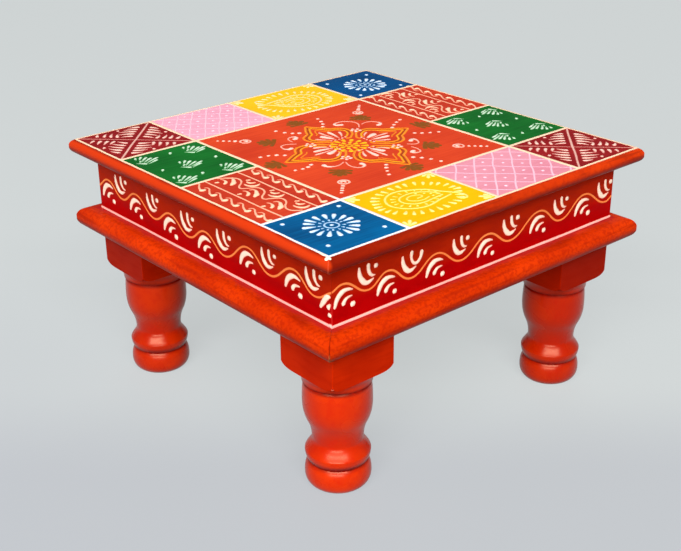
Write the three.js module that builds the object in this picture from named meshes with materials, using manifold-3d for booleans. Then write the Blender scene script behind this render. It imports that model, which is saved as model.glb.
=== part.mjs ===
// Low square floor table (bajot) in painted wood: a bullnosed board on a mitred apron,
// a mitred lower rail with a rounded edge, and four legs turned from square stock.
// Millimetres, +Z up. The origin is on the floor, under the middle of the board.

import * as THREE from 'three';
import { mergeVertices } from 'three/addons/utils/BufferGeometryUtils.js';
import Module from 'manifold-3d';

const wasm = await Module();
wasm.setup();

// Board
const boardSide = 305;
const boardThickness = 12;
const boardEdgeRadius = 5.5;
const boardCornerRadius = 2.5;

// Apron, set in from the board's edge
const overhang = 15;
const apronHeight = 44;
const apronThickness = 10;

// Lower rail, as wide over its edges as the board
const railThickness = 16;
const railWidth = 70;
const railEdgeRadius = 7;
const railCornerRadius = 2.5;

// Legs: a square block at the top, flush with the apron, and a turning below it
const legHeight = 119;
const blockSide = 53;
const blockHeight = 31;
const blockEdgeEase = 1.2;
const blockCornerClip = 8.5;
const collarRadius = 24;
const collarGrooveRadius = 22.6;
const vaseTopRadius = 23.1;
const vaseRadius = 23.9;
const neckRadius = 17.7;
const beadRadius = 22.7;
const footGrooveRadius = 20.3;
const footRadius = 23;
const footFlatRadius = 18.6;

// Round tenon on each leg, and the corner block that it is glued into
const tenonRadius = 9;
const tenonChamfer = 1.5;
const tenonFit = 0.3;
const cornerBlockSide = 44;
const cornerBlockChamfer = 14;

// Gaps left at the glued joints, and how far a cutting shape runs past what it cuts
const mitreGap = 0.3;
const jointGap = 0.3;
const cutOverrun = 5;

// Shares of the sizes that they follow
const edgeLimitShare = 0.48;
const tenonDepthShare = 0.7;
const coveTopShare = 0.98;
const clipReachShare = 1.02;

// Heights on the turning, as shares of its height from the floor to the block
const turningShares = {
  footEdge: 0.03,
  footBelly: 0.1,
  footShoulder: 0.182,
  footGroove: 0.207,
  beadFlank: 0.25,
  beadBelly: 0.305,
  beadTop: 0.318,
  neckFoot: 0.366,
  neck: 0.426,
  vaseFoot: 0.493,
  vaseSwell: 0.636,
  vaseBelly: 0.73,
  vaseShoulder: 0.827,
  vaseTop: 0.889,
  collarGroove: 0.905,
  collarFoot: 0.915,
  collarCove: 0.955,
};

// Facets
const roundFacets = 28;
const tenonFacets = 24;
const curveFacets = 4;
const edgeFacets = 5;
const cornerFacets = 3;

// Heights and half sizes that follow from the sizes above
const boardHalf = boardSide / 2;
const faceHalf = boardHalf - overhang;
const turningHeight = legHeight - blockHeight;
const railBase = legHeight;
const apronBase = railBase + railThickness;
const boardBase = apronBase + apronHeight;
const legPlace = faceHalf - blockSide / 2;
const mitreShift = mitreGap / Math.SQRT2;
const quarterTurn = Math.PI / 2;

const paint = {
  board: { color: 0xd8401c, roughness: 0.42 },
  apron: { color: 0xa81208, roughness: 0.4 },
  rail: { color: 0xe83406, roughness: 0.35 },
  leg: { color: 0xe62e05, roughness: 0.28 },
  bareWood: { color: 0xb98d5c, roughness: 0.75 },
};

const table = new THREE.Group();

function addPiece(name, geometry, finish, place = [0, 0, 0], turns = 0) {
  const piece = new THREE.Mesh(geometry, new THREE.MeshStandardMaterial({ ...finish, metalness: 0 }));
  piece.name = name;
  piece.position.set(...place);
  piece.rotation.z = turns * quarterTurn;
  table.add(piece);
}

// A closed mesh as a solid that can be joined and cut, and back again
function toSolid(geometry) {
  const bare = geometry.clone();
  bare.deleteAttribute('normal');
  bare.deleteAttribute('uv');
  const merged = mergeVertices(bare);
  return new wasm.Manifold(new wasm.Mesh({
    numProp: 3,
    vertProperties: new Float32Array(merged.attributes.position.array),
    triVerts: new Uint32Array(merged.index.array),
  }));
}

function toGeometry(solid) {
  const mesh = solid.getMesh();
  const geometry = new THREE.BufferGeometry();
  geometry.setAttribute('position', new THREE.BufferAttribute(mesh.vertProperties, 3));
  geometry.setIndex(new THREE.BufferAttribute(mesh.triVerts, 1));
  geometry.computeVertexNormals();
  return geometry;
}

// A square outline with rounded corners, centred on the origin
function roundedSquare(half, corner) {
  const centre = half - corner;
  const outline = new THREE.Shape();
  outline.absarc(centre, centre, corner, 0, quarterTurn);
  outline.absarc(-centre, centre, corner, quarterTurn, 2 * quarterTurn);
  outline.absarc(-centre, -centre, corner, 2 * quarterTurn, 3 * quarterTurn);
  outline.absarc(centre, -centre, corner, 3 * quarterTurn, 4 * quarterTurn);
  outline.closePath();
  return outline;
}

// A square slab whose four edges are rounded over, standing on z = 0. The roundings meet in a mitre
// at each corner, and the mitre is eased by the corner radius.
function bullnosedSlab(half, thickness, edgeRadius, cornerRadius) {
  const edge = Math.min(edgeRadius, thickness * edgeLimitShare);
  const flat = half - edge;
  const outline = new THREE.Shape([
    new THREE.Vector2(-flat, -flat),
    new THREE.Vector2(flat, -flat),
    new THREE.Vector2(flat, flat),
    new THREE.Vector2(-flat, flat),
  ]);
  const mitred = new THREE.ExtrudeGeometry(outline, {
    depth: thickness - 2 * edge,
    bevelThickness: edge,
    bevelSize: edge,
    bevelSegments: edgeFacets,
  });
  const easing = new THREE.ExtrudeGeometry(roundedSquare(half, cornerRadius), {
    depth: thickness + 2 * cutOverrun,
    bevelEnabled: false,
    curveSegments: cornerFacets,
  });
  return toSolid(mitred.translate(0, 0, edge)).intersect(toSolid(easing.translate(0, 0, -cutOverrun)));
}

function prism(points, height) {
  const outline = new THREE.Shape(points.map(([x, y]) => new THREE.Vector2(x, y)));
  return new THREE.ExtrudeGeometry(outline, { depth: height, bevelEnabled: false });
}

function roundBar(radius, height) {
  const profile = [[0, 0], [radius, 0], [radius, height], [0, height]];
  return revolve(profile.map(([r, z]) => new THREE.Vector2(r, z)), tenonFacets);
}

// A profile of radius and height, turned about +Z
function revolve(points, facets) {
  return new THREE.LatheGeometry(points, facets).rotateX(quarterTurn);
}

// Board
addPiece(
  'top_board',
  toGeometry(bullnosedSlab(boardHalf, boardThickness, boardEdgeRadius, boardCornerRadius)),
  paint.board,
  [0, 0, boardBase],
);

// Apron: one mitred board on each side, front (-Y) first and then round by the right
const sides = ['front', 'right', 'back', 'left'];
const apronInner = faceHalf - apronThickness;
const apronOutline = [
  [mitreShift - faceHalf, -faceHalf],
  [faceHalf - mitreShift, -faceHalf],
  [apronInner - mitreShift, -apronInner],
  [mitreShift - apronInner, -apronInner],
];
sides.forEach((side, turns) => {
  addPiece(`apron_${side}`, prism(apronOutline, apronHeight), paint.apron, [0, 0, apronBase], turns);
});

// Lower rail: a bullnosed frame, mitred at the corners and bored there for the leg tenons
function railSolid() {
  const slab = bullnosedSlab(boardHalf, railThickness, railEdgeRadius, railCornerRadius);
  const inner = boardHalf - railWidth;
  const hole = prism(
    [[-inner, -inner], [inner, -inner], [inner, inner], [-inner, inner]],
    railThickness + 2 * cutOverrun,
  );
  const reach = boardHalf + cutOverrun;
  const wedge = prism(
    [[0, -mitreShift], [-reach, -reach - mitreShift], [reach, -reach - mitreShift]],
    railThickness + 2 * cutOverrun,
  );
  const bore = toSolid(roundBar(tenonRadius + tenonFit, railThickness + 2 * cutOverrun));
  return slab
    .subtract(toSolid(hole.translate(0, 0, -cutOverrun)))
    .intersect(toSolid(wedge.translate(0, 0, -cutOverrun)))
    .subtract(bore.translate([-legPlace, -legPlace, -cutOverrun]))
    .subtract(bore.translate([legPlace, -legPlace, -cutOverrun]));
}
const railGeometry = toGeometry(railSolid());
sides.forEach((side, turns) => {
  addPiece(`rail_${side}`, railGeometry, paint.rail, [0, 0, railBase], turns);
});

// Carries a profile from one upright radius to another in an S that leans over between two heights
function swing(line, fromRadius, fromHeight, toRadius, toHeight, endHeight) {
  const midRadius = (fromRadius + toRadius) / 2;
  const midHeight = (fromHeight + toHeight) / 2;
  line.quadraticCurveTo(fromRadius, fromHeight, midRadius, midHeight);
  line.quadraticCurveTo(toRadius, toHeight, toRadius, endHeight);
}

// Outline of the turning, from the floor up, then of the tenon that runs on through the block
function turningProfile() {
  const at = (share) => share * turningHeight;
  const s = turningShares;
  const coveTop = (blockSide / 2) * coveTopShare;
  const tenonTop = apronBase + apronHeight * tenonDepthShare;
  const line = new THREE.Path();
  line.moveTo(0, 0);
  line.lineTo(footFlatRadius, 0);
  line.quadraticCurveTo(footRadius, at(s.footEdge), footRadius, at(s.footBelly));
  line.quadraticCurveTo(footRadius, at(s.footShoulder), footGrooveRadius, at(s.footGroove));
  line.quadraticCurveTo(beadRadius, at(s.beadFlank), beadRadius, at(s.beadBelly));
  swing(line, beadRadius, at(s.beadTop), neckRadius, at(s.neckFoot), at(s.neck));
  swing(line, neckRadius, at(s.vaseFoot), vaseRadius, at(s.vaseSwell), at(s.vaseBelly));
  line.quadraticCurveTo(vaseRadius, at(s.vaseShoulder), vaseTopRadius, at(s.vaseTop));
  line.lineTo(collarGrooveRadius, at(s.collarGroove));
  line.lineTo(collarRadius, at(s.collarFoot));
  line.quadraticCurveTo(collarRadius, at(s.collarCove), coveTop, turningHeight);
  line.lineTo(tenonRadius, turningHeight + blockHeight / 2);
  line.lineTo(tenonRadius, tenonTop - tenonChamfer);
  line.lineTo(tenonRadius - tenonChamfer, tenonTop);
  line.lineTo(0, tenonTop);
  return line.getPoints(curveFacets);
}

// Block of the leg: square stock whose lower corners are clipped round by the turning
function legBlock() {
  const square = new THREE.ExtrudeGeometry(roundedSquare(blockSide / 2, blockEdgeEase), {
    depth: blockHeight,
    bevelEnabled: false,
    curveSegments: cornerFacets,
  });
  const corner = (blockSide / 2) * Math.SQRT2 * clipReachShare;
  const clip = new THREE.Path();
  clip.moveTo(0, 0);
  clip.lineTo(corner - blockCornerClip, 0);
  clip.quadraticCurveTo(corner, 0, corner, blockCornerClip);
  clip.lineTo(corner, blockHeight + cutOverrun);
  clip.lineTo(0, blockHeight + cutOverrun);
  const lathe = toSolid(revolve(clip.getPoints(curveFacets), roundFacets));
  return toSolid(square).intersect(lathe).translate([0, 0, turningHeight]);
}

const legGeometry = toGeometry(toSolid(revolve(turningProfile(), roundFacets)).add(legBlock()));

// Corner block: fills the corner inside the apron and takes the leg's tenon
function cornerBlockGeometry() {
  const outer = apronInner - jointGap - legPlace;
  const inner = outer - cornerBlockSide;
  const outline = new THREE.Shape();
  outline.moveTo(outer, outer);
  outline.lineTo(inner, outer);
  outline.lineTo(inner, inner + cornerBlockChamfer);
  outline.lineTo(inner + cornerBlockChamfer, inner);
  outline.lineTo(outer, inner);
  outline.closePath();
  const bore = new THREE.Path();
  bore.absarc(0, 0, tenonRadius + tenonFit, 0, 4 * quarterTurn);
  outline.holes.push(bore);
  return new THREE.ExtrudeGeometry(outline, {
    depth: apronHeight,
    bevelEnabled: false,
    curveSegments: tenonFacets / 2,
  });
}
const cornerGeometry = cornerBlockGeometry();

// Corners, anticlockwise from the back right, each a quarter turn on from the one before
const corners = [
  { name: 'back_right', x: 1, y: 1 },
  { name: 'back_left', x: -1, y: 1 },
  { name: 'front_left', x: -1, y: -1 },
  { name: 'front_right', x: 1, y: -1 },
];
corners.forEach(({ name, x, y }, turns) => {
  addPiece(`leg_${name}`, legGeometry, paint.leg, [x * legPlace, y * legPlace, 0], turns);
  addPiece(
    `corner_block_${name}`,
    cornerGeometry,
    paint.bareWood,
    [x * legPlace, y * legPlace, apronBase],
    turns,
  );
});

export default table;
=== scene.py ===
import math
import random

import bmesh
import bpy
from mathutils import Matrix, Vector, noise


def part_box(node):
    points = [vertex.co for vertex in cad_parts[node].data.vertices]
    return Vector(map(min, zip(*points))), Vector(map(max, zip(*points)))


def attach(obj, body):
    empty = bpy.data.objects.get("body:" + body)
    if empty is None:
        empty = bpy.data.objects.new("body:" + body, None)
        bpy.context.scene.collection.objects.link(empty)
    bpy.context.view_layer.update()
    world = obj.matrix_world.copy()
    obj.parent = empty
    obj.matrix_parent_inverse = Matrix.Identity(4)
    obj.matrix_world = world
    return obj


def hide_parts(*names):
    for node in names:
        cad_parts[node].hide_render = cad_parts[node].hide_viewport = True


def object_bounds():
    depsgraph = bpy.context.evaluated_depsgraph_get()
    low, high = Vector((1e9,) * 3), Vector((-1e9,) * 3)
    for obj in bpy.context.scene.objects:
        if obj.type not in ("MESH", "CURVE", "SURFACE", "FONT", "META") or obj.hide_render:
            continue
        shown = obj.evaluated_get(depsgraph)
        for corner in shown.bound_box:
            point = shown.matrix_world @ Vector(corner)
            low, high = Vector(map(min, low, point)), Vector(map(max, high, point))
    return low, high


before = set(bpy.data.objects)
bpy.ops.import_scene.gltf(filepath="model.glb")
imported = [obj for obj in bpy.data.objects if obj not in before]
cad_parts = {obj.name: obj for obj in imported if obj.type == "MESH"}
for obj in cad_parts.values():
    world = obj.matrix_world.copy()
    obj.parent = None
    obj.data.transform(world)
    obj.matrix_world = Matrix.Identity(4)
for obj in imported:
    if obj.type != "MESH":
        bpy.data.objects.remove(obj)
cad_low, cad_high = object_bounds()

# The painted low table: lengths are in metres, and the brush marks are laid out in millimetres
MM = 0.001
SIDES = ("front", "right", "back", "left")
CORNERS = (("back_right", 1, 1), ("back_left", -1, 1), ("front_left", -1, -1), ("front_right", 1, -1))
QUARTER = math.pi / 2
ALONG_X = Vector((1, 0, 0))
ALONG_Y = Vector((0, 1, 0))

# Wooden parts
PAINT_ROOM = 0.0005
BOARD_CORNER = 0.0007
BOARD_ROUND = 0.0057
BOARD_BARE_HALF = 0.1275
RAIL_CORNER = 0.0009
RAIL_ROUND = 0.0078
RAIL_WIDTH = 0.070
RAIL_JOINT = 0.0001
APRON_THICKNESS = 0.010
APRON_JOINT = 0.00003
APRON_EASE = 0.0004
BLOCK_SIDE = 0.053
BLOCK_HEIGHT = 0.031
BLOCK_EASE = 0.0004
BLOCK_CLIP = 0.0085
CLIP_HEIGHT = 0.04
TURNING_HEIGHT = 0.088
TENON_RADIUS = 0.009
TENON_FIT = 0.0003
BORE_DEPTH = 0.05
TENON_TOP = 0.1658
TENON_EASE = 0.0015
LEG_PLACE = 0.111
SCREW_RADIUS = 0.0036
SCREW_POINT = 0.0016
SCREW_DEPTH = 0.0024
SCREW_SLOT = ((-0.0021, -0.0004, -0.002), (0.0021, 0.0004, -0.0004))
SCREW_PLACES = (-0.055, 0.055)
SCREW_INSET = -0.1322
SCREW_SUNK = 0.0009

# Wear: the chipped block, the bare spot on the rail, and the rail's front mitre, which gapes along its end
CHIP_PLACE = (-0.1367, -0.1367, 0.0912)
BARE_PLACE = (-0.1502, -0.1510, 0.1214)
GAPE_START = 0.125
GAPE_LENGTH = 0.027
GAPE_WIDTH = 0.0006
GAPE_BESIDE = 0.0015
GAPE_BELOW_TOP = 0.003

# Painted lines on the board, in millimetres
LINE_LEFT = -83.0
LINE_RIGHT = 81.0
LINE_FRONT = -83.0
LINE_BACK = 83.0
SPLIT_FRONT = -2.0
SPLIT_BACK = -6.0
SPLIT_LEFT = 6.0
SPLIT_RIGHT = -1.0
BORDER_INNER = 147.7
BORDER_INNER_BACK = 147.0
BORDER_DROP = 0.40
BORDER_THICKNESS = 0.32
BORDER_CREST = 0.42
FIELD_HALF = 148.2
LINE_HALF = 1.4

# Crest of a stroke, and the height from which its colour is full, in millimetres
PAINT_CREST = 0.45
PAINT_FULL = 0.42

# How the border's edge wavers: by a share of its place, in ripples per metre, with cuts along each side
BORDER_SWAY = 0.3 / 148
BORDER_RIPPLES = 90
BORDER_CUTS = 70

# Paints of the tiles, as tile_index numbers them from 1: lighter and darker chart colour, and the
# turn of the brush
TILE_PAINTS = (
    ("tile_blue", (0, 106, 164), (0, 74, 124), 0.9),
    ("tile_yellow", (250, 194, 4), (244, 182, 0), 0.1),
    ("tile_pink", (240, 160, 176), (230, 140, 158), 0.7),
    ("tile_maroon", (158, 32, 34), (132, 16, 22), 0.2),
    ("tile_green", (24, 116, 42), (10, 90, 30), 0.8),
    ("tile_brick", (214, 68, 38), (188, 46, 28), 1.5),
    ("tile_vermilion", (230, 76, 38), (208, 58, 28), 0.6),
    ("tile_blue_back", (6, 84, 142), (2, 62, 108), 0.7),
    ("tile_yellow_back", (250, 204, 34), (247, 194, 20), 0.3),
    ("tile_pink_back", (250, 181, 200), (244, 167, 190), 0.4),
)

# Five sprigs on a green tile and the small vine on a brick one, in millimetres from the tile's centre
SPRIG_PLACES = ((-19.5, 27.5), (20.5, 25.5), (0.0, 0.0), (-20.5, -24.0), (18.5, -24.5))
SMALL_VINE = (
    (-3.9, 43.0), (1.1, 39.4), (6.1, 34.7), (6.2, 29.0), (2.7, 24.2), (-2.2, 19.8), (-3.3, 16.4),
    (-0.3, 13.7), (5.5, 10.4), (6.7, 6.1), (5.2, 1.1), (1.9, -2.4), (-2.4, -5.9), (-3.7, -10.0), (0.5, -12.7),
    (5.3, -16.2), (5.5, -20.4), (3.3, -24.6), (-1.0, -28.9), (-3.7, -34.5), (-2.5, -38.4), (2.4, -42.4),
)

# Middle field, in millimetres from its centre. The lotus buds point back, left, forward and right
LOTUS_REACHES = (55.2, 63.0, 62.3, 57.2)
# Scrolls in the four slanting directions: a flower and two curls, which end in full blobs
SCROLLS = (
    ((23.0, 21.6),
     ((30.5, 25.9), (36.0, 35.6), (32.7, 43.1), (26.2, 45.8), (19.7, 42.0), (24.0, 38.8)),
     ((37.0, 30.2), (44.6, 31.3), (49.0, 27.0), (49.0, 21.6), (44.6, 19.4))),
    ((-25.2, -22.6),
     ((-32.3, -28.0), (-41.0, -31.3), (-47.4, -28.0), (-47.4, -23.7)),
     ((-31.4, -29.4), (-34.4, -38.8), (-31.2, -44.7), (-25.8, -43.1), (-25.2, -38.8))),
    ((-25.8, 17.2),
     ((-32.0, 26.1), (-42.0, 30.2), (-45.8, 24.8), (-44.2, 19.9), (-41.0, 20.5)),
     ((-31.0, 32.0), (-30.0, 37.7), (-25.8, 41.5), (-22.0, 38.8), (-25.8, 35.6))),
    ((19.7, -28.0),
     ((29.5, -29.1), (34.9, -33.4), (40.3, -29.1), (40.3, -23.7), (36.0, -25.9)),
     ((27.3, -35.7), (27.3, -43.1), (23.0, -48.5), (18.6, -45.3), (21.9, -43.7))),
)
# Chains of four dots: start, bend and end
CHAINS = (
    ((-13.9, 44.7), (-20.5, 48.0), (-24.1, 60.9)),
    ((10.0, 45.3), (17.0, 52.0), (20.2, 63.6)),
    ((-54.5, 11.3), (-60.0, 19.0), (-70.2, 19.9)),
    ((-53.4, -17.2), (-60.0, -22.0), (-69.1, -18.9)),
    ((48.4, 7.5), (57.0, 14.5), (66.8, 18.3)),
    ((51.7, -14.0), (57.0, -20.0), (67.4, -24.3)),
    ((-13.9, -52.8), (-20.0, -59.0), (-26.3, -69.0)),
    ((11.6, -53.9), (18.0, -60.0), (20.3, -73.3)),
)
# Ringed circles and leaf clusters: the way that they point, in degrees, and their place
RINGED = ((45, -56.6, 56.6), (-45, 54.9, 55.0), (135, -59.4, -59.3), (-135, 54.4, -57.7))
LEAF_CLUSTERS = (
    (0, -0.3, 66.0), (45, -46.0, 43.1), (90, -73.0, 0.0), (135, -48.5, -43.1),
    (180, -3.0, -69.0), (-135, 40.3, -43.1), (-90, 70.6, -2.2), (-45, 47.0, 43.1),
)

# Blobs at the board's front corner: quarter turns of the side that each lies on, distance from the corner,
# slope of the shoulder there, width and length
NOSE_BLOBS = (
    (-1, 0.0014, math.radians(32), 0.0032, 0.0032),
    (-1, 0.0052, math.radians(17), 0.0086, 0.0017),
    (0, 0.0010, math.radians(30), 0.0019, 0.0021),
)
BLOB_HEIGHT = 0.0005

# Turns of the vine on the apron in millimetres, as places along the side and heights from the floor:
# each starts at the left corner, and crests and troughs follow by turns
VINE_FRONT = (
    (-137.2, 159.6), (-128.0, 162.6), (-107.2, 152.2), (-90.6, 160.2), (-70.2, 148.8), (-47.4, 159.4),
    (-23.7, 147.6), (1.4, 159.4), (25.1, 148.2), (54.6, 162.2), (78.7, 148.8), (103.9, 162.0),
    (130.5, 149.6), (137.2, 152.6),
)
VINE_LEFT = (
    (-137.2, 154.0), (-123.8, 161.5), (-104.8, 151.3), (-84.9, 160.8), (-61.2, 148.8), (-39.3, 158.8),
    (-17.0, 148.2), (3.8, 158.4), (26.1, 147.6), (52.7, 162.4), (75.9, 150.3), (101.0, 162.8),
    (121.0, 151.6), (137.2, 159.4),
)
FOOT_LINE = 136.1

# Camera, set from the photograph's perspective
CAMERA_AZIMUTH = math.radians(-40.64)
CAMERA_ELEVATION = math.radians(24.71)
CAMERA_ROLL = math.radians(-0.50)
CAMERA_DISTANCE = 0.8762
CAMERA_ASIDE = -0.0092
CAMERA_RAISE = -0.0990
CAMERA_LENS = 62.17
CAMERA_SENSOR = 36.0

FLOOR_HALF = 20.0

hand = random.Random(23)


# Shapes

def limited(value):
    return max(0.0, min(1.0, value))


def bent(start, control, end, share):
    """A place along a curve that leans towards a control point."""
    rest = 1 - share
    return tuple(
        first * rest ** 2 + 2 * pull * share * rest + last * share * share
        for first, pull, last in zip(start, control, end)
    )


def shade(mesh, degrees):
    """Smooth shading over edges up to an angle."""
    mesh.shade_smooth()
    mesh.set_sharp_from_angle(angle=math.radians(degrees))


def linked(name, data):
    """A new object in the scene."""
    made = bpy.data.objects.new(name, data)
    bpy.context.scene.collection.objects.link(made)
    return made


def finish_mesh(name, bm, materials=(), smooth_angle=35.0):
    """Turns a bmesh into a piece."""
    mesh = bpy.data.meshes.new(name)
    bm.to_mesh(mesh)
    bm.free()
    shade(mesh, smooth_angle)
    for material in materials:
        mesh.materials.append(material)
    return linked(name, mesh)


def hand_over(piece, slot, *nodes):
    """Puts a finished piece on the body and hides the nodes that it stands for.

    Where it stands for nodes, its large flat faces rule the shading of the rounded edges beside them. Its
    slot is not used.
    """
    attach(piece, "root")
    if nodes:
        modifier = piece.modifiers.new("even_shading", "WEIGHTED_NORMAL")
        modifier.keep_sharp = True
        modifier.weight = 100
        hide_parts(*nodes)


def add_block(bm, low, high):
    """A box between two corners."""
    low, high = Vector(low), Vector(high)
    place = Matrix.Translation((low + high) / 2) @ Matrix.Diagonal((*(high - low), 1))
    bmesh.ops.create_cube(bm, size=1, matrix=place)


def edges_along(bm, axis, share):
    """Edges whose direction follows an axis, numbered 0 to 2, by at least a share."""
    found = []
    for edge in bm.edges:
        way = (edge.verts[0].co - edge.verts[1].co).normalized()
        if abs(way[axis]) > share:
            found.append(edge)
    return found


def rim_edges(bm):
    """Edges between a level face and the sides."""
    found = []
    for edge in bm.edges:
        slopes = sorted(abs(face.normal.z) for face in edge.link_faces)
        if len(slopes) == 2 and slopes[0] < 0.5 and slopes[1] > 0.99:
            found.append(edge)
    return found


def round_over(bm, edges, radius, segments):
    ends = {"offset": radius, "segments": segments, "profile": 0.5, "affect": "EDGES", "material": -1}
    bmesh.ops.bevel(bm, geom=edges, **ends)


def everything(bm):
    return bm.verts[:] + bm.edges[:] + bm.faces[:]


def bullnosed_slab(low, high, edge, corner):
    """A slab whose rounded edges meet in a mitre at each corner, with the mitre eased a little."""
    bm = bmesh.new()
    add_block(bm, low, high)
    round_over(bm, rim_edges(bm), edge, 8)
    slab = finish_mesh("slab", bm)
    easing = bmesh.new()
    add_block(easing, (low[0], low[1], low[2] - 0.01), (high[0], high[1], high[2] + 0.01))
    round_over(easing, edges_along(easing, 2, 0.9), corner, 6)
    combine(slab, finish_mesh("easing", easing), "INTERSECT")
    bm = bmesh.new()
    bm.from_mesh(slab.data)
    bpy.data.objects.remove(slab)
    return bm


def slice_off(bm, point, direction):
    """Removes what lies beyond a plane and closes the cut."""
    plane = {"plane_co": point, "plane_no": direction, "clear_outer": True}
    cut = bmesh.ops.bisect_plane(bm, geom=everything(bm), **plane)
    edges = [found for found in cut["geom_cut"] if isinstance(found, bmesh.types.BMEdge)]
    bmesh.ops.edgeloop_fill(bm, edges=edges)


def score(bm, direction, reach, upwards):
    """Cuts the level faces that look up or down, at a reach along a direction."""
    faces = [face for face in bm.faces if face.normal.z * upwards > 0.99]
    edges = {edge for face in faces for edge in face.edges}
    verts = {vert for face in faces for vert in face.verts}
    geom = list(verts) + list(edges) + faces
    bmesh.ops.bisect_plane(bm, geom=geom, plane_co=direction * reach, plane_no=direction)


def turned(profile, steps):
    """Turns a profile of radius and height about the upright axis, as a lathe does."""
    bm = bmesh.new()
    verts = [bm.verts.new((radius, 0, height)) for radius, height in profile]
    edges = [bm.edges.new(pair) for pair in zip(verts, verts[1:])]
    path = {"axis": (0, 0, 1), "cent": (0, 0, 0), "angle": 2 * math.pi, "steps": steps, "use_merge": True}
    bmesh.ops.spin(bm, geom=verts + edges, **path)
    bmesh.ops.remove_doubles(bm, verts=bm.verts, dist=1e-7)
    bmesh.ops.recalc_face_normals(bm, faces=bm.faces)
    return bm


def real_mesh(piece):
    """The shape of a piece with its modifiers, or of a curve with its thickness."""
    graph = bpy.context.evaluated_depsgraph_get()
    return bpy.data.meshes.new_from_object(piece.evaluated_get(graph))


def combine(piece, tool, operation):
    """Joins, cuts or crosses a piece with a tool shape, and removes the tool."""
    modifier = piece.modifiers.new(operation, "BOOLEAN")
    modifier.operation = operation
    modifier.solver = "EXACT"
    modifier.object = tool
    mesh = real_mesh(piece)
    piece.modifiers.clear()
    piece.data = mesh
    bpy.data.objects.remove(tool)


def full_load(bm):
    """Marks the whole shape as thick paint."""
    load = bm.verts.layers.float.new("load")
    for vert in bm.verts:
        vert[load] = 1.0


# Finishes

def chart(red, green, blue):
    """Linear colour of a paint whose chart values run from 0 to 255."""
    linear = []
    for value in (red, green, blue):
        share = value / 255
        linear.append(share / 12.92 if share <= 0.04045 else ((share + 0.055) / 1.055) ** 2.4)
    return (*linear, 1.0)


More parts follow.
